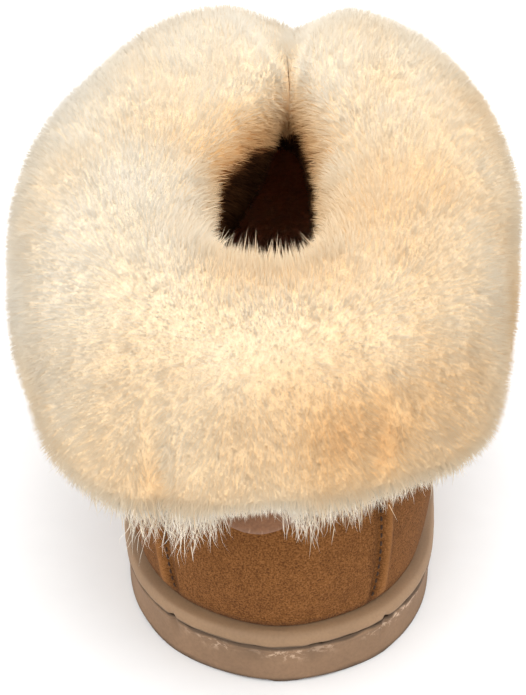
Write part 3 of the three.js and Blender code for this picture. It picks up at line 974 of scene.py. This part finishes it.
def spread_places(rng, count, rows):
    """Random turns and rows on the cuff, even over its area."""
    turn_count, row_count = 240, 80
    turns = np.linspace(*WOOL_ENDS, turn_count + 1)
    levels = np.linspace(*rows, row_count + 1)
    corner = cuff_points(turns[:, None], levels[None, :])
    wide = np.linalg.norm(np.diff(corner, axis=0), axis=-1)[:, :-1]
    tall = np.linalg.norm(np.diff(corner, axis=1), axis=-1)[:-1]
    area = wide * tall
    chosen = rng.choice(area.size, count, p=area.ravel() / area.sum())
    i, j = np.divmod(chosen, row_count)
    turn = turns[i] + rng.random(count) * (turns[1] - turns[0])
    row = levels[j] + rng.random(count) * (levels[1] - levels[0])
    return turn, row


def hair_mesh(name, hairs, material):
    """One mesh of three-sided tapering hairs, lit as the surface that they stand on."""
    nodes, width = hairs["nodes"], hairs["width"]
    count, joints, _ = nodes.shape
    axis = unit(nodes[:, -1] - nodes[:, 0])
    side = unit(np.cross(axis, hairs["aside"]))
    other = np.cross(axis, side)
    taper = 1 - 0.7 * (np.arange(joints - 1) / max(joints - 1, 1)) ** 2
    angles = np.radians([90, 210, 330])
    spoke = side[:, None] * np.cos(angles)[:, None] + other[:, None] * np.sin(angles)[:, None]
    rings = spoke[:, None] * (width[:, None] * taper)[..., None, None] * 0.55
    rings = (nodes[:, :-1, None] + rings).reshape(count, -1, 3)
    vertices = np.concatenate([rings, nodes[:, -1:]], 1) * MM
    per_hair = vertices.shape[1]
    corners, sizes = [], []
    for joint in range(joints - 1):
        low = 3 * joint
        for k in range(3):
            a, b = low + k, low + (k + 1) % 3
            face = [a, b, per_hair - 1] if joint == joints - 2 else [a, b, b + 3, a + 3]
            corners += face
            sizes.append(len(face))
    loops = (np.arange(count)[:, None] * per_hair + np.array(corners)).ravel().astype(np.int32)
    totals = np.tile(sizes, count)
    mesh = bpy.data.meshes.new(name)
    mesh.vertices.add(count * per_hair)
    mesh.vertices.foreach_set("co", vertices.ravel())
    mesh.loops.add(len(loops))
    mesh.loops.foreach_set("vertex_index", loops)
    mesh.polygons.add(len(totals))
    starts = np.concatenate([[0], np.cumsum(totals)[:-1]])
    mesh.polygons.foreach_set("loop_start", starts.astype(np.int32))
    mesh.update(calc_edges=True)
    along = np.append(np.repeat(np.arange(joints - 1) / (joints - 1), 3), 1.0)
    aside = np.append(np.tile([-0.002, 0.0, 0.002], joints - 1), 0)
    u = np.clip(hairs["tone"], 0.005, 0.995)[:, None] + aside
    uv = np.stack([u, np.broadcast_to(0.01 + 0.98 * along, u.shape)], -1).reshape(-1, 2)
    layer = mesh.uv_layers.new(name="OFBake")
    layer.uv.foreach_set("vector", uv[loops].astype(np.float32).ravel())
    lit = np.repeat(hairs["normal"], per_hair, 0).astype(np.float32)
    normals = mesh.attributes.new("custom_normal", "FLOAT_VECTOR", "POINT")
    normals.data.foreach_set("vector", lit.ravel())
    mesh.materials.append(material)
    mesh.update()
    return new_object(name, mesh)


def hair_paths(way, final, length, joints):
    """Joints of hairs from a root at 0 that start along way and turn to final."""
    steps = np.linspace(0, 1, joints - 1) if joints > 2 else np.array([0.6])
    turned = unit(way[:, None] * (1 - steps)[:, None] + final[:, None] * steps[:, None])
    path = np.cumsum(turned * (length / (joints - 1))[:, None, None], 1)
    return np.concatenate([np.zeros_like(path[:, :1]), path], 1)


def pile_hairs(sizes, rng, count):
    """Hairs over the whole cuff, with their tips on its surface."""
    turn, row = spread_places(rng, count, PILE_ROWS)
    p, normal, down, round_it = frame_of(wool_points, turn, row)
    crease = end_nearness(turn, 3)
    normal = tamed_normals(p, normal, turn)
    clump = soft_noise(p, 8, 11)
    swirl = soft_noise(p, 9, 12)
    fine = soft_noise(p, 3, 13)
    lay = 0.15 + 0.5 * smoothstep(9, 11.4, row) - 0.2 * smoothstep(4.5, 2.0, row)
    jitter = rng.normal(0, 0.16, (2, count))
    down_lean = lay + 0.13 * clump + jitter[0]
    side_lean = 0.2 * swirl + 0.11 * fine + jitter[1] * (1 + 2.5 * crease)
    final = unit(normal + down * down_lean[:, None] + round_it * side_lean[:, None])
    way = unit(normal + final)
    length = sizes.hair_length / MM * (1 + rng.normal(0, 0.1, count))
    length = length * (0.6 + 0.4 * smoothstep(1.0, 3.5, row))
    nodes = hair_paths(way, final, length, 2)
    stray = rng.exponential(0.35 + 0.6 * bump(turn, 45)) * bump(row - 3.6, 1.2)
    hang = PILE_HANG * np.interp(turn, HEM["turn"], HEM["length"])
    hang = hang * rng.exponential(1, count) * smoothstep(9.2, 10.8, row)
    stray = stray + rng.uniform(0, 1.2, count) * crease * smoothstep(7.5, 6.5, row)
    tip = p + normal * (0.2 * fine + stray + rng.normal(0, 0.35, count))[:, None]
    tip = tip + unit(0.5 * normal + SAG) * hang[:, None]
    tip = tip + round_it * (rng.uniform(0, 2, count) * crease * np.sign(turn))[:, None]
    nodes = nodes + (tip - nodes[:, -1])[:, None]
    # Light that wool lets through brightens the mouth's rim, so its hairs are lit from above
    glow = 0.9 * bump(row - 3.4, 1.9)[:, None] * np.array([0, -0.5, 1])
    lit = unit(normal + 0.12 * final + glow + rng.normal(0, 0.06, (count, 3)))
    return {
        "nodes": nodes,
        "width": sizes.hair_width / MM * (1 + rng.normal(0, 0.15, count)),
        "aside": rng.normal(0, 1, (count, 3)),
        "normal": lit,
        "tone": wool_tone_and_shade(p, turn, row) + 0.02 * fine + rng.normal(0, 0.015, count),
        "turn": turn,
    }


def hem_hairs(sizes, rng, count):
    """Sparser, paler hairs that hang from the hem, gathered in small tufts of many lengths."""
    turn, row = spread_places(rng, count, HEM_ROWS)
    p, normal, _, round_it = frame_of(wool_points, turn, row)
    spacing = rng.uniform(*TUFT_SPACING, TUFTS)
    centres = WOOL_ENDS[0] + np.cumsum(spacing)
    tuft = np.clip(np.searchsorted(centres, turn + spacing.mean() / 2), 0, len(centres) - 1)
    reach = np.interp(turn, HEM["turn"], HEM["length"]) * rng.uniform(0.35, 1.25, len(centres))[tuft]
    sway = rng.normal(0, 0.4, len(centres))[tuft]
    gather = np.clip(0.25 * (centres[tuft] - turn), -0.5, 0.5)
    outward = unit(np.cross(SAG, round_it))
    flare = rng.normal(0.5, 0.25, count)
    way = unit(0.7 * SAG + outward * flare[:, None] + round_it * (0.3 * sway)[:, None])
    aside = gather + sway + rng.normal(0, 0.35, count)
    final = unit(SAG + outward * rng.normal(0.1, 0.25, count)[:, None] + round_it * aside[:, None])
    length = np.maximum(reach * (1 + rng.normal(0, 0.3, count)), 0.6) + 1.5
    nodes = curled(hair_paths(way, final, length, 5), length, rng)
    return hanging_hairs(sizes, rng, nodes + (p - normal * 2)[:, None], outward, 0.1, 0.93)


def hanging_hairs(sizes, rng, nodes, outward, lift, tone):
    """Thin pale hairs along paths, lit from outside and a little above."""
    count = len(nodes)
    return {
        "nodes": nodes,
        "width": 0.42 * sizes.hair_width / MM * (1 + rng.normal(0, 0.2, count)),
        "aside": rng.normal(0, 1, (count, 3)),
        "normal": unit(outward + np.array([0, 0, lift]) + rng.normal(0, 0.25, (count, 3))),
        "tone": tone + rng.normal(0, 0.05, count),
    }


def curled(nodes, length, rng):
    """Hair paths with a random bend at each joint, more so towards the tip."""
    count, joints, _ = nodes.shape
    bends = np.cumsum(rng.normal(0, 1, (count, joints, 3)), 1) * np.linspace(0, 1, joints)[:, None]
    return nodes + CURL * length[:, None, None] * bends


def wisp_hairs(sizes, rng):
    """Single wisps that hang lowest."""
    made = []
    for wisp in WISPS:
        count = wisp["count"]
        turn = wisp["turn"] + rng.normal(0, wisp["fan"], count)
        row = rng.uniform(*WISP_ROWS, count)
        p, normal, _, round_it = frame_of(wool_points, turn, row)
        outward = unit(np.cross(SAG, round_it))
        gather = (wisp["turn"] - turn)[:, None] * 0.05
        way = unit(0.7 * SAG + outward * 0.6 + round_it * (gather * 0.4))
        stray = rng.normal(wisp["lean"], 0.22, count)[:, None]
        final = SAG + outward * rng.normal(0.05, 0.15, count)[:, None] + round_it * (gather + stray)
        length = wisp["length"] * (1 + rng.normal(0, 0.25, count))
        nodes = curled(hair_paths(way, unit(final), length, 6), length, rng)
        nodes = nodes + (p - normal * 1.5)[:, None]
        made.append(hanging_hairs(sizes, rng, nodes, outward, 0.3, 0.88))
    return {key: np.concatenate([part[key] for part in made]) for key in made[0]}


# Upper


def wall_places(points):
    """How far points lie outside the upper's outer face, below 0 inside it, and its normals there."""
    t, row = np.meshgrid(np.linspace(0, 1, 480, endpoint=False), np.linspace(0, TOP_ROW, 90))
    t, row = t.ravel(), row.ravel()
    skin, normals = upper_points(t, row), upper_normals(t, row)
    nearest = nearest_joints(points, skin)[0]
    return np.sum((points - skin[nearest]) * normals[nearest], 1), normals[nearest]


def crease_height(p):
    """Troughs across the vamp, each with a ridge in front of it."""
    height = np.zeros(len(p))
    for crease in CREASES:
        x = p[:, 0] - crease["x"]
        across = p[:, 1] - crease["y"] - crease["slant"] * x - 0.004 * x**2
        along = bump(x, crease["reach"] * 0.62)
        trough = -crease["depth"] * bump(across, crease["width"] * 0.6)
        ridge = 0.55 * crease["depth"] * bump(across - crease["width"] * 1.3, crease["width"] * 0.8)
        height += (trough + ridge) * along * smoothstep(34, 48, p[:, 2])
    return height


def upper_relief(p, normals):
    """Soft unevenness of the suede: creases, slack, and puckers at the seams."""
    slack = 0.5 * soft_noise(p, 30, 31) + 0.22 * soft_noise(p, 12, 32)
    slack = slack * smoothstep(16, 30, p[:, 2])
    outside = wall_places(p)[0] > -1
    above = p[:, 2] - sole_line_at(p[:, 1])
    beads, sunk = seam_distances(p)
    seams = 0.5 * bump(beads, 1.1) - 0.7 * bump(sunk, 0.7)
    tucked = 0.9 * bump(beads, 2.2)
    seams = seams * smoothstep(0.5, 4, above) - tucked * smoothstep(4, 0.5, above)
    return slack + crease_height(p) + np.where(outside, seams, 0)


def seam_distances(p):
    """How far points are from the nearest raised seam, and from the nearest line of stitches."""
    beads, sunk = [], []
    for seam in SEAMS:
        for side in ("outer", "inner"):
            beads.append(seam_line(seam, side, 0, (0, TOP_ROW), SEAM_RISE)[0])
            sunk.append(seam_line(seam, side, STITCH_ASIDE, (0, TOP_ROW), 0)[0])
    return (nearest_joints(p, np.concatenate(lines))[1] for lines in (beads, sunk))


def nearest_joints(points, joints):
    """The nearest joint to each point, and how far it is."""
    tree = kdtree.KDTree(len(joints))
    for k, joint in enumerate(joints):
        tree.insert(joint, k)
    tree.balance()
    found = [tree.find(point)[1:] for point in points]
    return np.array([k for k, _ in found]), np.array([away for _, away in found])


def seam_line(seam, side, aside, rows, rise):
    """Points, normals and lengths along a seam, moved aside towards the heel."""
    low, high = rows
    row = np.linspace(low, high, 400)
    station = seam[side] - aside / seam["station_length"]
    t = station / SEGMENTS
    t = np.full_like(row, t if side == "outer" else 1 - t)
    normal = upper_normals(t, row)
    p = upper_points(t, row) + normal * rise
    length = np.concatenate([[0], np.cumsum(np.linalg.norm(np.diff(p, axis=0), axis=1))])
    return p, normal, length


def stitches(sizes, colours):
    """Short thread stitches beside each raised seam."""
    bm = bmesh.new()
    for seam in SEAMS:
        for side in ("outer", "inner"):
            p, normal, length = seam_line(seam, side, STITCH_ASIDE, seam["rows"], 0.05)
            places = np.arange(STITCH_PITCH, length[-1] - STITCH_PITCH, STITCH_PITCH)
            for place in places:
                ends = [place - STITCH_LENGTH / 2, place + STITCH_LENGTH / 2]
                a, b = (np.array([np.interp(e, length, p[:, k]) for k in range(3)]) for e in ends)
                n = np.array([np.interp(place, length, normal[:, k]) for k in range(3)])
                add_stitch(bm, Vector(a) * MM, Vector(b) * MM, Vector(n), sizes.thread)
    obj = object_from(bm, "seam_stitches")
    shade_smooth(obj.data)
    set_material(obj, thread_finish(colours))
    finish_piece(obj, "suede")


def add_stitch(bm, a, b, normal, thickness):
    """A grain of thread from a to b that dips into the suede at both ends."""
    made = bmesh.ops.create_uvsphere(bm, u_segments=6, v_segments=5, radius=thickness / 2)
    along = b - a
    turn = along.normalized().to_track_quat("Z", "Y")
    for vertex in made["verts"]:
        share = vertex.co.z / thickness
        flat = Vector((vertex.co.x, vertex.co.y * 0.8, 0))
        rise = thickness * (0.12 - 0.4 * abs(share))
        vertex.co = (a + b) / 2 + turn @ flat + along * share + normal * rise


# Sole


def crack_height(p):
    """Height over the line between the outsole and the band, near the heel and sides only."""
    return np.where(p[:, 1] < LAST_CRACK, p[:, 2] - sole_top_at(p[:, 1]), np.inf)


def nick_depth(p):
    """Short upright cuts in the side of the sole."""
    depth = np.zeros(len(p))
    for nick in NICKS:
        t = nick["station"] / SEGMENTS
        place = outline_points(np.array(t % 1), np.array(0.0))
        away = np.hypot(p[:, 0] - place[0], p[:, 1] - place[1])
        depth += nick["depth"] * bump(away, nick["width"])
    return depth


def roughen_edge(obj):
    """Lowers the outsole's upper edge by ragged dips."""
    p = vertex_array(obj.data) / MM
    near = smoothstep(1.6, 0.3, np.abs(p[:, 2] - sole_top_at(p[:, 1])))
    dips = np.clip(soft_noise(p, 1.9, 48) + 0.6 * soft_noise(p, 5, 49), 0, 1)
    p[:, 2] -= near * dips
    obj.data.vertices.foreach_set("co", (p * MM).ravel())
    obj.data.update()


def outsole_relief(p, normals):
    """The outsole's ragged lip, wear, cuts and spread foot, on its sides alone."""
    sideways = smoothstep(0.3, 0.7, np.hypot(normals[:, 0], normals[:, 1]))
    top = sole_top_at(p[:, 1])
    lip = bump(top - p[:, 2], 1.3)
    ragged = 0.6 + 0.25 * soft_noise(p, 2.2, 41) + 0.25 * soft_noise(p, 6, 42)
    wear = 0.12 * soft_noise(p, 18, 43)
    above_floor = p[:, 2] - spring_at(p[:, 1])
    upper_half = smoothstep(3.5, 6.5, above_floor)
    foot = 0.8 * smoothstep(2.6, 0.6, above_floor)
    return sideways * (lip * ragged + wear + foot - nick_depth(p) * upper_half)


def strip_relief(p, normals):
    """The band's ragged lower lip and slight waves, on its sides alone."""
    sideways = smoothstep(0.2, 0.6, np.hypot(normals[:, 0], normals[:, 1]))
    low = sole_top_at(p[:, 1]) + GAP
    lip = bump(p[:, 2] - low, 1.4)
    ragged = 0.85 + 0.15 * soft_noise(p, 2.6, 51)
    wave = 0.18 * soft_noise(p, 14, 52)
    return sideways * (lip * ragged + wave - nick_depth(p) * bump(p[:, 2] - low, 1.5))


# Stage


def add_floor(colour):
    bm = bmesh.new()
    bmesh.ops.create_grid(bm, x_segments=1, y_segments=1, size=6.0)
    floor = object_from(bm, "floor")
    finish = Finish("floor_paper", 0.9, specular=0.1)
    finish.colour(finish.mottled(finish.grain(90, detail=2), colour, 0.985, 0.3, 0.7))
    set_material(floor, finish.material)


def add_world(strength):
    world = bpy.data.worlds.new("studio")
    world.use_nodes = True
    background = world.node_tree.nodes["Background"]
    background.inputs["Color"].default_value = (1, 1, 1, 1)
    background.inputs["Strength"].default_value = strength
    bpy.context.scene.world = world


def add_softbox(name, place, size, power):
    """A square lamp that looks at the boot."""
    lamp = bpy.data.lights.new(name, "AREA")
    lamp.energy = power
    lamp.size = size
    obj = new_object(name, lamp)
    obj.location = place
    obj.rotation_euler = (Vector(LAMP_TARGET) - Vector(place)).to_track_quat("-Z", "Y").to_euler()


def add_camera(scene):
    lens = bpy.data.cameras.new("photo_view")
    lens.sensor_width = SENSOR
    lens.lens = PIXELS_PER_MM * VIEW_DISTANCE / MM * SENSOR / IMAGE_HEIGHT
    camera = new_object("photo_view", lens)
    a, e = math.radians(VIEW_AZIMUTH), math.radians(VIEW_ELEVATION)
    back = Vector((math.sin(a) * math.cos(e), -math.cos(a) * math.cos(e), math.sin(e)))
    camera.location = Vector(VIEW_TARGET) + back * VIEW_DISTANCE
    camera.rotation_euler = (-back).to_track_quat("-Z", "Y").to_euler()
    scene.camera = camera


# Operators


class BOOT_OT_outsole(bpy.types.Operator):
    """Make the outsole with its worn side"""

    bl_idname = "boot.outsole"
    bl_label = "Outsole"

    def execute(self, context):
        obj = refined_copy("outsole", "outsole_rubber", 38)
        refine_crack(obj, CRACK_REACH["outsole"])
        displace(obj, outsole_relief)
        roughen_edge(obj)
        p = vertex_array(obj.data) / MM
        top = sole_top_at(p[:, 1])
        # Painted shade in the crack under the band, full on the hidden top faces
        crack = smoothstep(1.1, 0.3, np.abs(top - p[:, 2]) + 0.5 * soft_noise(p, 4, 45))
        inner = p[:, 2] - top > -0.02
        # Painted shade also in the cuts of the sole's side
        painted_dark = np.maximum(0.95 * crack, np.clip(nick_depth(p), 0, 0.9) * smoothstep(4, 7, p[:, 2]))
        above_floor = p[:, 2] - spring_at(p[:, 1])
        # Darker along the bottom edge, towards the floor
        foot_darkening = 0.85 * smoothstep(1.5, 0.5, above_floor + 0.3 * soft_noise(p, 3, 47))
        tone_attribute(obj, np.maximum(np.where(inner, 1, painted_dark), foot_darkening), "painted_dark")
        band = bump(top - p[:, 2] - 1.9, 1.6) * smoothstep(-26, -10, p[:, 0])
        tone_attribute(obj, band * smoothstep(-0.6, 0.3, soft_noise(p, 8, 46)), "scuff")
        set_material(obj, outsole_finish(context.scene.boot_colours))
        finish_piece(obj, "sole_rubber", "outsole")
        return {"FINISHED"}


class BOOT_OT_strip(bpy.types.Operator):
    """Make the band between the outsole and the upper"""

    bl_idname = "boot.strip"
    bl_label = "Band"

    def execute(self, context):
        obj = refined_copy("midsole", "sole_band", 50)
        refine_crack(obj, CRACK_REACH["band"])
        displace(obj, strip_relief)
        p = vertex_array(obj.data) / MM
        low = sole_top_at(p[:, 1]) + GAP
        # Painted shade along the crack at the band's lower lip
        crack = smoothstep(0.8, 0.1, p[:, 2] - low + 0.4 * soft_noise(p, 3, 53))
        tone_attribute(obj, crack, "painted_dark")
        set_material(obj, strip_finish(context.scene.boot_colours))
        finish_piece(obj, "wrap", "midsole")
        return {"FINISHED"}


class BOOT_OT_upper(bpy.types.Operator):
    """Make the suede upper with its raised seams, creases and lining"""

    bl_idname = "boot.upper"
    bl_label = "Upper"

    def execute(self, context):
        colours = context.scene.boot_colours
        obj = refined_copy("upper", "upper_suede", 60)
        mesh = obj.data
        away, skin = wall_places(np.array([f.center for f in mesh.polygons]) / MM)
        facing = np.sum(skin * np.array([f.normal for f in mesh.polygons]), 1)
        inside = (away < -1) & (facing < -0.3)
        displace(obj, upper_relief)
        set_material(obj, suede_finish(colours), lining_finish(colours))
        mesh.polygons.foreach_set("material_index", inside.astype(np.int32))
        mesh.update()
        beads, sunk = seam_distances(vertex_array(mesh) / MM)
        # Mask of the painted highlight on the seams' beads
        tone_attribute(obj, bump(beads, 1.2), "bead_highlight")
        # Mask of the painted shade in the sunk lines of stitches
        tone_attribute(obj, bump(sunk, 0.8), "sunk")
        finish_piece(obj, "suede", "upper")
        return {"FINISHED"}


class BOOT_OT_stitches(bpy.types.Operator):
    """Sew the raised seams"""

    bl_idname = "boot.stitches"
    bl_label = "Stitches"

    def execute(self, context):
        stitches(context.scene.boot_sizes, context.scene.boot_colours)
        return {"FINISHED"}


class BOOT_OT_heel_tab(bpy.types.Operator):
    """Make the half-moon tab on the heel"""

    bl_idname = "boot.heel_tab"
    bl_label = "Heel tab"

    def execute(self, context):
        obj = refined_copy("heel_tab", "heel_tab_suede", 50)
        displace(obj, lambda p, n: 0.15 * soft_noise(p, 6, 61))
        normals = normal_array(obj.data)
        tone_attribute(obj, smoothstep(0.55, 0.85, -normals[:, 2]), "edge")
        set_material(obj, tab_finish(context.scene.boot_colours))
        finish_piece(obj, "tab_suede", "heel_tab")
        return {"FINISHED"}


class BOOT_OT_insole(bpy.types.Operator):
    """Make the insole's pile"""

    bl_idname = "boot.insole"
    bl_label = "Insole"

    def execute(self, context):
        obj = refined_copy("insole", "insole_pile", 70)
        displace(obj, lambda p, n: 0.5 * soft_noise(p, 7, 71) * smoothstep(0.2, 0.8, n[:, 2]))
        set_material(obj, lining_finish(context.scene.boot_colours))
        finish_piece(obj, "lining", "insole")
        return {"FINISHED"}


class BOOT_OT_fleece(bpy.types.Operator):
    """Make the body of the folded wool cuff"""

    bl_idname = "boot.fleece"
    bl_label = "Fleece"

    def execute(self, context):
        obj = fleece_body(context.scene.boot_sizes)
        cut_slot(obj)
        shade_smooth(obj.data)
        set_material(obj, fleece_finish())
        finish_piece(obj, "wool", "cuff")
        return {"FINISHED"}


class BOOT_OT_pile(bpy.types.Operator):
    """Grow the wool over the cuff"""

    bl_idname = "boot.pile"
    bl_label = "Pile"

    def execute(self, context):
        sizes = context.scene.boot_sizes
        rng = np.random.default_rng(5)
        material = wool_finish()
        hairs = pile_hairs(sizes, rng, sizes.hairs)
        turn = hairs["turn"]
        for sector in WOOL_SECTORS:
            at = (turn >= sector["from"]) & (turn < sector["to"])
            part = {name: values[at] for name, values in hairs.items()}
            finish_piece(hair_mesh(sector["name"], part, material), "wool")
        return {"FINISHED"}


class BOOT_OT_hem(bpy.types.Operator):
    """Grow the longer hairs of the hem"""

    bl_idname = "boot.hem"
    bl_label = "Hem"

    def execute(self, context):
        sizes = context.scene.boot_sizes
        rng = np.random.default_rng(8)
        material = bpy.data.materials["wool_pile"]
        hem = hem_hairs(sizes, rng, sizes.hem_hairs)
        finish_piece(hair_mesh("wool_hem", hem, material), "wool")
        finish_piece(hair_mesh("wool_wisps", wisp_hairs(sizes, rng), material), "wool")
        return {"FINISHED"}


class BOOT_OT_stage(bpy.types.Operator):
    """Set the floor, the light and the camera"""

    bl_idname = "boot.stage"
    bl_label = "Stage"

    def execute(self, context):
        scene = context.scene
        scene.view_settings.view_transform = "Standard"
        add_floor(scene.boot_colours.floor)
        add_world(WORLD_STRENGTH)
        for lamp in LAMPS:
            add_softbox(**lamp)
        add_camera(scene)
        return {"FINISHED"}


class BOOT_PT_panel(bpy.types.Panel):
    """The boot's pieces in the sidebar"""

    bl_label = "Sheepskin mukluk boot"
    bl_idname = "BOOT_PT_panel"
    bl_space_type = "VIEW_3D"
    bl_region_type = "UI"
    bl_category = "Boot"

    def draw(self, context):
        for group in (context.scene.boot_sizes, context.scene.boot_colours):
            for name in group.__annotations__:
                self.layout.prop(group, name)
        for piece in PIECES:
            self.layout.operator(piece.bl_idname)


PIECES = (
    BOOT_OT_outsole,
    BOOT_OT_strip,
    BOOT_OT_insole,
    BOOT_OT_upper,
    BOOT_OT_stitches,
    BOOT_OT_heel_tab,
    BOOT_OT_fleece,
    BOOT_OT_pile,
    BOOT_OT_hem,
    BOOT_OT_stage,
)
CLASSES = (BootSizes, BootColours, *PIECES, BOOT_PT_panel)


def register():
    for each in CLASSES:
        bpy.utils.register_class(each)
    bpy.types.Scene.boot_sizes = bpy.props.PointerProperty(type=BootSizes)
    bpy.types.Scene.boot_colours = bpy.props.PointerProperty(type=BootColours)


def unregister():
    del bpy.types.Scene.boot_colours
    del bpy.types.Scene.boot_sizes
    for each in reversed(CLASSES):
        bpy.utils.unregister_class(each)


def main():
    register()
    for piece in PIECES:
        group, name = piece.bl_idname.split(".")
        getattr(getattr(bpy.ops, group), name)()


if __name__ == "__main__":
    main()
